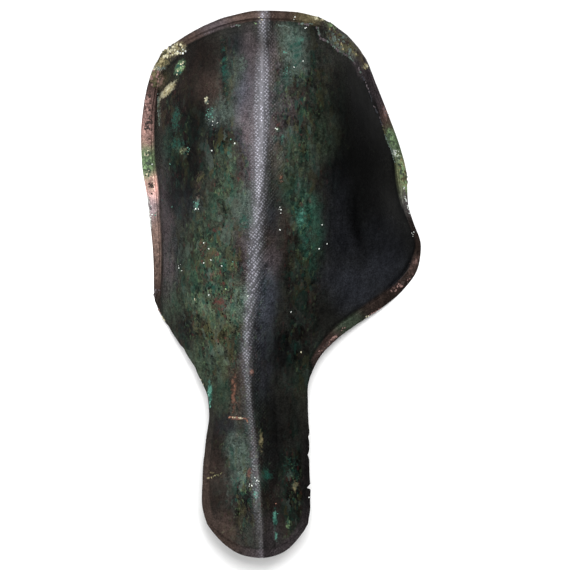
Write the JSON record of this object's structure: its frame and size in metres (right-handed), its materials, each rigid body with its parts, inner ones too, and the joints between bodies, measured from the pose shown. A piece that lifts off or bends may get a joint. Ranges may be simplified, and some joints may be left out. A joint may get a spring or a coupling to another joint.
{
  "type": "bronze greave",
  "caption": "Ancient bronze shin guard raised from one sheet, with a midrib, two wings, a folded hem and an instep tongue.",
  "frame": {"origin": "on the resting plane, under the middle of the greave's bounding box", "axes": "+Y up the shin from the instep tongue to the knee, +Z out of the midrib, +X towards the wider wing"},
  "size_m": [0.1856, 0.3602, 0.0673],
  "materials": {
    "patinated_bronze": "dark brown and green excavated patina, satin, with a worn midrib and crusted hem"
  },
  "bodies": {
    "root": {"greave_shell": "patinated_bronze"}
  },
  "joints": []
}
